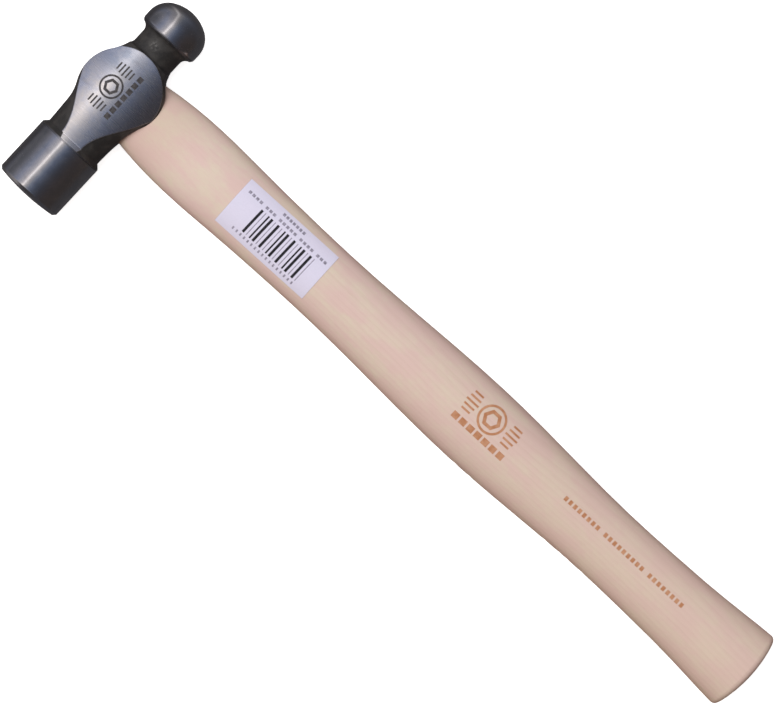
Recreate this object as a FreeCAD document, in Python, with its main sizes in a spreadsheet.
import FreeCAD, Part
import math
import os
import re
import Sketcher

# Ball peen hammer with a head of about half a kilogram, millimetres.
#
# The hammer is drawn in its own axes and then laid on a bench.  In its own axes the origin is the
# middle of the eye, X runs down the handle towards the grip, Y runs along the head from the
# striking face (negative) to the ball (positive), and Z is the thickness of the head.

SIZES = {
    # head, along its own axis, measured from the middle of the eye
    "face_reach": 59.4,
    "face_crown": 1.1,
    "face_bevel_wide": 1.3,
    "face_bevel_long": 1.35,
    "poll_radius": 15.9,
    "collar_reach": 30.8,
    "collar_bevel_long": 2.0,
    "neck_radius": 14.0,
    "flank_radius": 50.0,
    "flank_turn": 18.5,
    # boss about the eye, with ground cheeks: its outline is an arc on the top side of the hammer
    # and a tighter, uneven one on the handle's side
    "top_radius": 18.9,
    "top_shift": 0.3,
    "top_drop": -0.6,
    "top_poll_fillet": 16.5,
    "top_ball_fillet": 16.5,
    "foot_radius": 16.3,
    "foot_shift": 2.3,
    "foot_drop": 3.3,
    "foot_poll_fillet": 42.0,
    "foot_ball_fillet": 5.0,
    "foot_flat_lift": 0.06,
    "boss_shift": 0.3,
    "boss_front_reach": 19.45,
    "boss_front_radius": 29.8,
    "boss_front_cove": 2.0,
    "flank_end_reach": 22.4,
    "cheek_half": 13.3,
    "cheek_radius": 40.0,
    "grind_half_wide": 24.0,
    "grind_start": 28.9,
    "grind_end": 24.0,
    # ball
    "ball_neck_radius": 10.6,
    "ball_cove_start": 26.9,
    "ball_cove_radius": 3.3,
    "ball_lip_reach": 30.1,
    "ball_lip_radius": 2.6,
    "ball_lip_long": 2.3,
    "ball_radius": 14.3,
    "ball_shoulder_reach": 34.9,
    "ball_shoulder_radius": 10.7,
    "ball_reach": 46.6,
    # eye, an oval hole, wider at both mouths than at its waist
    "eye_mouth_reach": 21.0,
    "eye_top_long": 24.0,
    "eye_top_wide": 14.4,
    "eye_waist_reach": 2.0,
    "eye_waist_long": 21.6,
    "eye_waist_wide": 12.6,
    "eye_foot_long": 23.0,
    "eye_foot_wide": 13.4,
    # tenon end and wedges
    "dressed_radius": 18.4,
    "kerf_top": 3.8,
    "kerf_foot": 0.8,
    "kerf_reach": 8.0,
    "kerf_half_long": 14.0,
    "steel_wedge_top": 2.4,
    "steel_wedge_foot": 0.6,
    "steel_wedge_depth": 6.0,
    "steel_wedge_wide": 9.6,
    "steel_wedge_offset": 5.6,
    "steel_wedge_sunk": 0.3,
    # butt of the handle
    "handle_end": 369.4,
    "butt_dome_radius": 62.0,
    "butt_half_wide": 22.0,
    "butt_fillet": 2.4,
    # sticker
    "label_at": 92.8,
    "label_long": 50.3,
    "label_chord": 23.7,
    "label_thick": 0.15,
    "label_turn": 0.7,
    # handle girths: place along the handle, width along the head's axis, thickness
    "root_at": 11.0, "root_wide": 31.0, "root_thick": 14.4,
    "throat_at": 26.0, "throat_wide": 34.8, "throat_thick": 17.2,
    "shoulder_at": 46.0, "shoulder_wide": 36.3, "shoulder_thick": 20.8,
    "collar_at": 72.0, "collar_wide": 34.6, "collar_thick": 22.8,
    "waist_at": 115.0, "waist_wide": 32.8, "waist_thick": 23.3,
    "rise_at": 154.0, "rise_wide": 34.4, "rise_thick": 24.4,
    "swell_front_at": 190.0, "swell_front_wide": 37.2, "swell_front_thick": 26.3,
    "swell_at": 212.0, "swell_wide": 37.7, "swell_thick": 26.8,
    "swell_back_at": 234.0, "swell_back_wide": 36.5, "swell_back_thick": 26.0,
    "taper_at": 259.0, "taper_wide": 34.0, "taper_thick": 24.3,
    "wrist_at": 300.0, "wrist_wide": 32.5, "wrist_thick": 23.2,
    "flare_start_at": 326.0, "flare_start_wide": 33.8, "flare_start_thick": 24.1,
    "flare_at": 346.0, "flare_wide": 36.1, "flare_thick": 25.6,
    "flare_end_at": 360.0, "flare_end_wide": 38.2, "flare_end_thick": 26.9,
    "butt_at": 372.0, "butt_wide": 39.0, "butt_thick": 27.4,
}

GIRTHS = ("root", "throat", "shoulder", "collar", "waist", "rise", "swell_front", "swell",
          "swell_back", "taper", "wrist", "flare_start", "flare", "flare_end", "butt")

# how far beyond the head the cutting outlines reach, and the depth of a cut right through it
CLEAR = 45.0
THROUGH = f"2 * {CLEAR}"


# ---- sizes and sketches ---------------------------------------------------------------------

def fill_sheet(doc):
    """The spreadsheet with one aliased cell for every driving dimension."""
    sheet = doc.addObject("Spreadsheet::Sheet", "Sizes")
    for row, (name, size) in enumerate(SIZES.items(), start=1):
        sheet.set(f"A{row}", name)
        sheet.set(f"B{row}", str(size))
        sheet.setAlias(f"B{row}", name)
    doc.recompute()
    return sheet


def tied(expression):
    """An expression in the sheet's aliases, as other objects of the document have to write it."""
    return re.sub(r"\b([a-z]\w*)\b(?!\()", r"Sizes.\1", expression)


def value(doc, expression):
    """The number that an expression in the sheet's aliases stands for."""
    return float(doc.Sizes.evalExpression(tied(expression)))


def new_sketch(body, name, plane, lift="0"):
    """A sketch on one of the body's own origin planes, raised along the plane's normal."""
    sketch = body.newObject("Sketcher::SketchObject", name)
    support = next(part for part in body.Origin.OriginFeatures if part.Role == plane)
    sketch.AttachmentSupport = [(support, "")]
    sketch.MapMode = "FlatFace"
    sketch.setExpression("AttachmentOffset.Base.z", tied(lift))
    return sketch


def tie(sketch, kind, *where, expression):
    """A dimension of a sketch that takes its size from the sheet."""
    size = value(sketch.Document, expression)
    index = sketch.addConstraint(Sketcher.Constraint(kind, *where, size))
    sketch.setExpression(f"Constraints[{index}]", tied(expression))


def pin_point(sketch, edge, end, x, y):
    """Hold one end of an edge at the point (x, y), both given as expressions."""
    axes = (("DistanceX", x, -2), ("DistanceY", y, -1))
    for kind, expression, axis in axes:
        place = value(sketch.Document, expression)
        if abs(place) < 1e-9:
            sketch.addConstraint(Sketcher.Constraint("PointOnObject", edge, end, axis))
        elif place > 0:
            tie(sketch, kind, -1, 1, edge, end, expression=expression)
        else:
            tie(sketch, kind, edge, end, -1, 1, expression=f"-({expression})")


def arc_between(start, finish, radius, left):
    """The shorter arc from start to finish whose centre is on the left or right of the way."""
    chord = finish - start
    middle = start + chord * 0.5
    normal = FreeCAD.Vector(-chord.y, chord.x, 0).normalize()
    height = math.sqrt(max(radius ** 2 - chord.Length ** 2 / 4, 0))
    centre = middle + normal * (height if left else -height)
    first, last = (start, finish) if left else (finish, start)
    angles = [math.atan2(point.y - centre.y, point.x - centre.x) for point in (first, last)]
    if angles[1] < angles[0]:
        angles[1] += 2 * math.pi
    circle = Part.Circle(centre, FreeCAD.Vector(0, 0, 1), radius)
    return Part.ArcOfCircle(circle, angles[0], angles[1])


def draw_outline(sketch, corners):
    """A closed outline.  Each corner is (x, y) or (x, y, radius, side), where the last two bend the
    edge that leaves it into an arc with its centre on that side of the way round."""
    doc = sketch.Document
    points = [FreeCAD.Vector(value(doc, c[0]), value(doc, c[1]), 0) for c in corners]
    ends = []
    for place, corner in enumerate(corners):
        start = points[place]
        finish = points[(place + 1) % len(points)]
        if len(corner) == 2:
            edge = sketch.addGeometry(Part.LineSegment(start, finish))
            ends.append((edge, 1, 2))
            continue
        left = corner[3] == "left"
        arc = arc_between(start, finish, value(doc, corner[2]), left)
        edge = sketch.addGeometry(arc)
        tie(sketch, "Radius", edge, expression=corner[2])
        ends.append((edge, 1, 2) if left else (edge, 2, 1))
    for place, corner in enumerate(corners):
        edge, start_end, _ = ends[place]
        before, _, finish_end = ends[place - 1]
        sketch.addConstraint(Sketcher.Constraint("Coincident", before, finish_end, edge, start_end))
        pin_point(sketch, edge, start_end, corner[0], corner[1])


def draw_oval(sketch, long_axis, short_axis):
    """An ellipse about the sketch's origin, its long axis along the sketch's x."""
    doc = sketch.Document
    half_long = value(doc, long_axis) / 2
    half_short = value(doc, short_axis) / 2
    oval = sketch.addGeometry(Part.Ellipse(FreeCAD.Vector(), half_long, half_short))
    sketch.exposeInternalGeometry(oval)
    sketch.addConstraint(Sketcher.Constraint("Coincident", oval, 3, -1, 1))
    sketch.addConstraint(Sketcher.Constraint("Horizontal", oval + 1))
    tie(sketch, "Distance", oval + 1, expression=long_axis)
    tie(sketch, "Distance", oval + 2, expression=short_axis)


# ---- features -------------------------------------------------------------------------------

def changed(body, before, what):
    """Stop if a cut took nothing away."""
    body.Document.recompute()
    if before - body.Shape.Volume < 1e-3:
        raise RuntimeError(f"{body.Label}: {what} cut nothing")


def add_pad(body, name, sketch, length):
    """Material on both sides of the sketch, length in all."""
    pad = body.newObject("PartDesign::Pad", name)
    pad.Profile = sketch
    pad.SideType = "Symmetric"
    pad.setExpression("Length", tied(length))
    body.Document.recompute()


def cut_both_ways(body, name, sketch, length):
    """A pocket on both sides of the sketch, length in all."""
    before = body.Shape.Volume
    pocket = body.newObject("PartDesign::Pocket", name)
    pocket.Profile = sketch
    pocket.SideType = "Symmetric"
    pocket.setExpression("Length", tied(length))
    changed(body, before, name)


def turn(body, kind, name, sketch, axis):
    """A full turn of the sketch about one of its own axes, adding or cutting."""
    feature = body.newObject(f"PartDesign::{kind}", name)
    feature.Profile = sketch
    feature.ReferenceAxis = (sketch, [axis])
    feature.Angle = 360.0
    body.Document.recompute()


def loft(body, kind, name, sketches):
    """A smooth skin through sketches, adding or cutting."""
    feature = body.newObject(f"PartDesign::{kind}", name)
    feature.Profile = sketches[0]
    feature.Sections = sketches[1:]
    body.Document.recompute()


def round_edges(body, name, size, wanted):
    """A fillet on the edges of the body's tip that the test picks."""
    tip = body.Tip
    names = [f"Edge{i}" for i, edge in enumerate(tip.Shape.Edges, start=1) if wanted(edge)]
    if not names:
        raise RuntimeError(f"{body.Label}: no edge for {name}")
    feature = body.newObject("PartDesign::Fillet", name)
    feature.Base = (tip, names)
    feature.setExpression("Radius", tied(size))
    body.Document.recompute()


# ---- outline of the head about the eye --------------------------------------------------------

def boss_side(end, side):
    """Where the rounding between boss and neck meets each of them, at one end of the head on one
    side of it.

    Gives the distance along the head from the boss's middle to the point on the neck, then the
    point on the boss itself, across the head from its axis and along it from the boss's middle."""
    radius, drop, fillet = f"{side}_radius", f"{side}_drop", f"{side}_{end}_fillet"
    span = f"({neck_across(end, side)} + {fillet} - {drop})"
    reach = f"sqrt(pow({radius} + {fillet}; 2) - pow({span}; 2))"
    share = f"{radius} / ({radius} + {fillet})"
    return reach, f"({share} * {span} + {drop})", f"{share} * {reach}"


def neck_across(end, side):
    """How far from the head's axis the outline runs beside the neck at one end of the head."""
    if end == "poll":
        return "neck_radius"
    return "(ball_neck_radius + foot_flat_lift)" if side == "foot" else "ball_neck_radius"


def rounding_at(place):
    """How far across the head its top side's rounding towards the ball lies at a place along it."""
    reach = boss_side("ball", "top")[0]
    depth = f"pow(top_shift + {reach} - {place}; 2)"
    return f"(ball_neck_radius + top_ball_fillet - sqrt(pow(top_ball_fillet; 2) - {depth}))"


def eye_sections(body):
    """The three ovals of the eye, from the top of the head to its foot."""
    mouths = (("top", "-eye_mouth_reach"), ("waist", "eye_waist_reach"), ("foot", "eye_mouth_reach"))
    sketches = []
    for name, lift in mouths:
        sketch = new_sketch(body, f"eye_{name}", "YZ_Plane", lift)
        draw_oval(sketch, f"eye_{name}_long", f"eye_{name}_wide")
        sketches.append(sketch)
    return sketches


def cut_top(body, radius):
    """Dress the wood and wedges at the top of the eye to a curve just under the boss's crown."""
    half = "kerf_half_long"
    rim = f"-top_drop - sqrt(pow({radius}; 2) - pow({half}; 2))"
    sketch = new_sketch(body, "dressing", "XY_Plane")
    draw_outline(sketch, [
        (rim, f"boss_shift - {half}"),
        (f"-{CLEAR}", f"boss_shift - {half}"),
        (f"-{CLEAR}", f"boss_shift + {half}"),
        (rim, f"boss_shift + {half}", radius, "left"),
    ])
    cut_both_ways(body, "dressed_top", sketch, THROUGH)


# ---- head -------------------------------------------------------------------------------------

def turned_profile(body):
    """Half the head's section, from the striking face to the tip of the ball."""
    face_radius = "(poll_radius - face_bevel_wide)"
    crown = f"(pow({face_radius}; 2) + pow(face_crown; 2)) / (2 * face_crown)"
    flank_long = "flank_radius * sin(flank_turn * 1deg)"
    flank_rise = "flank_radius * (1 - cos(flank_turn * 1deg))"
    foot = "(collar_reach - collar_bevel_long)"
    flank_end = f"({flank_long} - {foot})"
    drum = f"(neck_radius + {flank_rise} + (boss_shift - {flank_end}) * tan(flank_turn * 1deg))"
    lip = "ball_neck_radius + ball_cove_radius - sqrt(pow(ball_cove_radius; 2)" \
          " - pow(ball_lip_reach - ball_cove_start; 2))"
    # the dome and the shoulder arc of the ball touch on the line through their centres
    inner = "(ball_radius - ball_shoulder_radius)"
    drop = "(ball_reach - ball_shoulder_reach)"
    dome = f"((pow({inner}; 2) + pow({drop}; 2) - pow(ball_shoulder_radius; 2))" \
           f" / (2 * ({drop} - ball_shoulder_radius)))"
    share = f"({dome} / ({dome} - ball_shoulder_radius))"
    touch_along = f"ball_reach - {dome} + {share} * (ball_shoulder_reach - ball_reach + {dome})"
    sketch = new_sketch(body, "turned_profile", "XY_Plane")
    draw_outline(sketch, [
        ("0", "-face_reach", crown, "left"),
        (face_radius, "face_crown - face_reach"),
        ("poll_radius", "face_crown + face_bevel_long - face_reach"),
        ("poll_radius", "-collar_reach"),
        ("neck_radius", f"-{foot}", "flank_radius", "right"),
        (f"neck_radius + {flank_rise}", flank_end),
        (drum, "boss_shift", "boss_front_radius", "left"),
        ("cheek_half", "boss_front_reach"),
        ("ball_neck_radius + boss_front_cove", "boss_front_reach", "boss_front_cove", "right"),
        ("ball_neck_radius", "boss_front_reach + boss_front_cove"),
        ("ball_neck_radius", "ball_cove_start", "ball_cove_radius", "right"),
        (lip, "ball_lip_reach", "ball_lip_radius", "left"),
        ("ball_radius", "ball_lip_reach + ball_lip_long"),
        ("ball_radius", "ball_shoulder_reach", "ball_shoulder_radius", "left"),
        (f"{share} * {inner}", touch_along, dome, "left"),
        ("0", "ball_reach"),
    ])
    return sketch


def flank_waste(body):
    """What lies outside the boss and the roundings that lead into the two necks."""
    foot = "collar_bevel_long - collar_reach"
    sketch = new_sketch(body, "flank_waste", "XY_Plane")
    for side, sign, bend, boss in (("foot", "", "right", "left"), ("top", "-", "left", "right")):
        shift, radius = f"{side}_shift", f"{side}_radius"
        poll_reach, poll_across, poll_along = boss_side("poll", side)
        ball_reach, ball_across, ball_along = boss_side("ball", side)
        beside_neck = neck_across("ball", side)
        last = [(f"{sign}{beside_neck}", f"{shift} + {ball_reach}"),
                (f"{sign}{beside_neck}", "flank_end_reach")]
        if side == "top":
            last = [(f"{sign}{rounding_at('flank_end_reach')}", "flank_end_reach")]
        draw_outline(sketch, [
            (f"{sign}neck_radius", foot),
            (f"{sign}neck_radius", f"{shift} - {poll_reach}", f"{side}_poll_fillet", bend),
            (f"{sign}{poll_across}", f"{shift} - {poll_along}", radius, boss),
            (f"{sign}({radius} + {side}_drop)", shift, radius, boss),
            (f"{sign}{ball_across}", f"{shift} + {ball_along}", f"{side}_ball_fillet", bend),
            *last,
            (f"{sign}{CLEAR}", "flank_end_reach"),
            (f"{sign}{CLEAR}", foot),
        ])
    return sketch


def cheek_waste(body):
    """What lies outside the two ground cheeks, each a shallow arc across the head."""
    edge = "grind_half_wide"
    rim = f"cheek_half - cheek_radius + sqrt(pow(cheek_radius; 2) - pow({edge}; 2))"
    sketch = new_sketch(body, "cheek_waste", "XZ_Plane", "grind_start")
    for sign, side in (("", "right"), ("-", "left")):
        draw_outline(sketch, [
            (f"-({edge})", f"{sign}({rim})", "cheek_radius", side),
            (edge, f"{sign}({rim})"),
            (edge, f"{sign}{CLEAR}"),
            (f"-({edge})", f"{sign}{CLEAR}"),
        ])
    return sketch


def make_head(doc):
    """The forging: turned poll, neck and ball, a round boss with ground cheeks, and the eye."""
    body = doc.addObject("PartDesign::Body", "head")
    turn(body, "Revolution", "turned", turned_profile(body), "V_Axis")
    cut_both_ways(body, "flanks", flank_waste(body), THROUGH)
    before = body.Shape.Volume
    grind = body.newObject("PartDesign::Pocket", "cheeks")
    grind.Profile = cheek_waste(body)
    grind.setExpression("Length", tied("grind_start + grind_end"))
    changed(body, before, "cheeks")
    before = body.Shape.Volume
    loft(body, "SubtractiveLoft", "eye", eye_sections(body))
    changed(body, before, "eye")
    return body


# ---- handle -----------------------------------------------------------------------------------

def shaft_sections(body, skin="0"):
    """The ovals of the shaft from its root in the head to its butt, with a skin added all round."""
    sketches = []
    for girth in GIRTHS:
        sketch = new_sketch(body, girth, "YZ_Plane", f"{girth}_at")
        draw_oval(sketch, f"{girth}_wide + 2 * {skin}", f"{girth}_thick + 2 * {skin}")
        sketches.append(sketch)
    return sketches


def head_shadow(body):
    """Everything on the head's side of its lower outline, which the handle's shoulder follows."""
    poll_reach, poll_across, poll_along = boss_side("poll", "foot")
    ball_reach, ball_across, ball_along = boss_side("ball", "foot")
    beside_neck = neck_across("ball", "foot")
    sketch = new_sketch(body, "head_shadow", "XY_Plane")
    draw_outline(sketch, [
        (f"-{CLEAR}", f"-{CLEAR}"),
        ("neck_radius", f"-{CLEAR}"),
        ("neck_radius", f"foot_shift - {poll_reach}", "foot_poll_fillet", "right"),
        (poll_across, f"foot_shift - {poll_along}", "foot_radius", "left"),
        (ball_across, f"foot_shift + {ball_along}", "foot_ball_fillet", "right"),
        (beside_neck, f"foot_shift + {ball_reach}"),
        (beside_neck, f"{CLEAR}"),
        (f"-{CLEAR}", f"{CLEAR}"),
    ])
    return sketch


def butt_waste(body):
    """What lies beyond the slightly domed end of the handle."""
    corner = "handle_end - butt_dome_radius + sqrt(pow(butt_dome_radius; 2) - pow(butt_half_wide; 2))"
    sketch = new_sketch(body, "butt_waste", "XY_Plane")
    draw_outline(sketch, [
        ("handle_end", "0", "butt_dome_radius", "left"),
        (corner, "butt_half_wide"),
        (f"handle_end + {CLEAR}", "butt_half_wide"),
        (f"handle_end + {CLEAR}", "0"),
    ])
    return sketch


def kerf_profile(body):
    """The section of the saw kerf, and of the wooden wedge that fills it."""
    sketch = new_sketch(body, "kerf_profile", "XZ_Plane")
    draw_outline(sketch, [
        ("-eye_mouth_reach", "-kerf_top / 2"),
        ("kerf_reach", "-kerf_foot / 2"),
        ("kerf_reach", "kerf_foot / 2"),
        ("-eye_mouth_reach", "kerf_top / 2"),
    ])
    return sketch


def steel_wedge_profile(body, side):
    """The section of one steel wedge, driven across the wooden one; side is '' or '-'."""
    middle = f"{side}steel_wedge_offset"
    sketch = new_sketch(body, f"steel_wedge_profile_{'poll' if side else 'ball'}", "XY_Plane")
    draw_outline(sketch, [
        ("-eye_mouth_reach", f"{middle} - steel_wedge_top / 2"),
        ("-steel_wedge_depth", f"{middle} - steel_wedge_foot / 2"),
        ("-steel_wedge_depth", f"{middle} + steel_wedge_foot / 2"),
        ("-eye_mouth_reach", f"{middle} + steel_wedge_top / 2"),
    ])
    return sketch


def cut_steel_wedge_slots(body):
    """The slots that the two steel wedges have opened."""
    for side in ("-", ""):
        sketch = steel_wedge_profile(body, side)
        cut_both_ways(body, f"slot_{'poll' if side else 'ball'}", sketch, "steel_wedge_wide")


def make_handle(doc):
    """One length of hickory: a shaft of oval girths with a scribed shoulder, and a split tenon."""
    body = doc.addObject("PartDesign::Body", "handle")
    loft(body, "AdditiveLoft", "shaft", shaft_sections(body))
    before = body.Shape.Volume
    turn(body, "Groove", "butt_dome", butt_waste(body), "H_Axis")
    changed(body, before, "butt_dome")
    cut_both_ways(body, "shoulder_scribe", head_shadow(body), THROUGH)
    flare_end = value(doc, "flare_end_at")
    round_edges(body, "butt_round", "butt_fillet", lambda edge: edge.BoundBox.XMin > flare_end)
    loft(body, "AdditiveLoft", "tenon", eye_sections(body))
    cut_top(body, "dressed_radius")
    cut_both_ways(body, "kerf", kerf_profile(body), "2 * kerf_half_long")
    cut_steel_wedge_slots(body)
    return body


# ---- wedges and sticker -----------------------------------------------------------------------

def make_wood_wedge(doc):
    """The hardwood wedge: as long as the eye, slotted by the steel wedges, dressed at the top."""
    blank = doc.addObject("PartDesign::Body", "wedge_blank")
    add_pad(blank, "wedge", kerf_profile(blank), "2 * kerf_half_long")
    cut_steel_wedge_slots(blank)
    cut_top(blank, "dressed_radius")
    plug = doc.addObject("PartDesign::Body", "eye_plug")
    loft(plug, "AdditiveLoft", "plug", eye_sections(plug))
    wedge = doc.addObject("Part::Common", "wood_wedge")
    wedge.Base = blank
    wedge.Tool = plug
    doc.recompute()
    return wedge


def make_steel_wedge(doc, name, side):
    """One steel wedge, its top driven a little below the dressed wood."""
    body = doc.addObject("PartDesign::Body", name)
    add_pad(body, "blade", steel_wedge_profile(body, side), "steel_wedge_wide")
    cut_top(body, "(dressed_radius - steel_wedge_sunk)")
    return body


def make_label(doc):
    """The paper sticker: a rectangle that follows the oval of the shaft."""
    skin = doc.addObject("PartDesign::Body", "skin")
    loft(skin, "AdditiveLoft", "shaft_and_paper", shaft_sections(skin, "label_thick"))
    core = doc.addObject("PartDesign::Body", "core")
    loft(core, "AdditiveLoft", "bare_shaft", shaft_sections(core))
    sheet = doc.addObject("Part::Box", "sheet_outline")
    sheet.setExpression("Length", tied("label_long"))
    sheet.setExpression("Width", tied("label_chord"))
    sheet.setExpression("Height", tied("collar_thick"))
    middle = FreeCAD.Vector(value(doc, "label_at"), 0, 0)
    corner = FreeCAD.Vector(-value(doc, "label_long") / 2, -value(doc, "label_chord") / 2, 0)
    spin = FreeCAD.Rotation(FreeCAD.Vector(0, 0, 1), value(doc, "label_turn"))
    sheet.Placement = FreeCAD.Placement(middle + spin.multVec(corner), spin)
    paper = doc.addObject("Part::Common", "paper")
    paper.Base = skin
    paper.Tool = sheet
    label = doc.addObject("Part::Cut", "paper_label")
    label.Base = paper
    label.Tool = core
    doc.recompute()
    return label


# ---- assembly ---------------------------------------------------------------------------------

def bench_placement(doc, parts):
    """Lay the hammer on its side: on the collar's rim, the ball and the butt, origin under its
    middle."""
    collar = FreeCAD.Vector(0, -value(doc, "collar_reach"), -value(doc, "poll_radius"))
    ball = FreeCAD.Vector(0, value(doc, "ball_shoulder_reach"), -value(doc, "ball_radius"))
    butt_place = value(doc, "(flare_end_at + butt_at) / 2")
    butt = FreeCAD.Vector(butt_place, 0, -value(doc, "(flare_end_thick + butt_thick) / 4"))
    normal = (butt - collar).cross(ball - collar)
    level = FreeCAD.Rotation(normal, FreeCAD.Vector(0, 0, 1))
    whole = Part.makeCompound([part.Shape for part in parts])
    whole.Placement = FreeCAD.Placement(FreeCAD.Vector(), level)
    box = whole.optimalBoundingBox(False, False)
    middle = FreeCAD.Vector(box.Center.x, box.Center.y, box.ZMin)
    return FreeCAD.Placement(-middle, level)


def check(doc, parts):
    """Stop if any object failed or any sub-part is not one valid solid."""
    for item in doc.Objects:
        if {"Invalid", "Error"} & set(item.State):
            raise RuntimeError(f"{item.Label} failed: {item.State}")
    for part in parts:
        shape = part.Shape
        if shape.isNull() or not shape.isValid() or len(shape.Solids) != 1:
            raise RuntimeError(f"{part.Label} is not one valid solid")


def main():
    doc = FreeCAD.newDocument("ball_peen_hammer")
    fill_sheet(doc)
    parts = [
        make_head(doc),
        make_handle(doc),
        make_wood_wedge(doc),
        make_steel_wedge(doc, "steel_wedge_1", "-"),
        make_steel_wedge(doc, "steel_wedge_2", ""),
        make_label(doc),
    ]
    check(doc, parts)
    lie = bench_placement(doc, parts)
    for part in parts:
        part.Placement = lie
    doc.recompute()
    check(doc, parts)
    os.makedirs("parts", exist_ok=True)
    for part in parts:
        part.Shape.exportStep(f"parts/{part.Label}.step")
        print(f"{part.Label}: {part.Shape.Volume:.1f} mm3")


main()
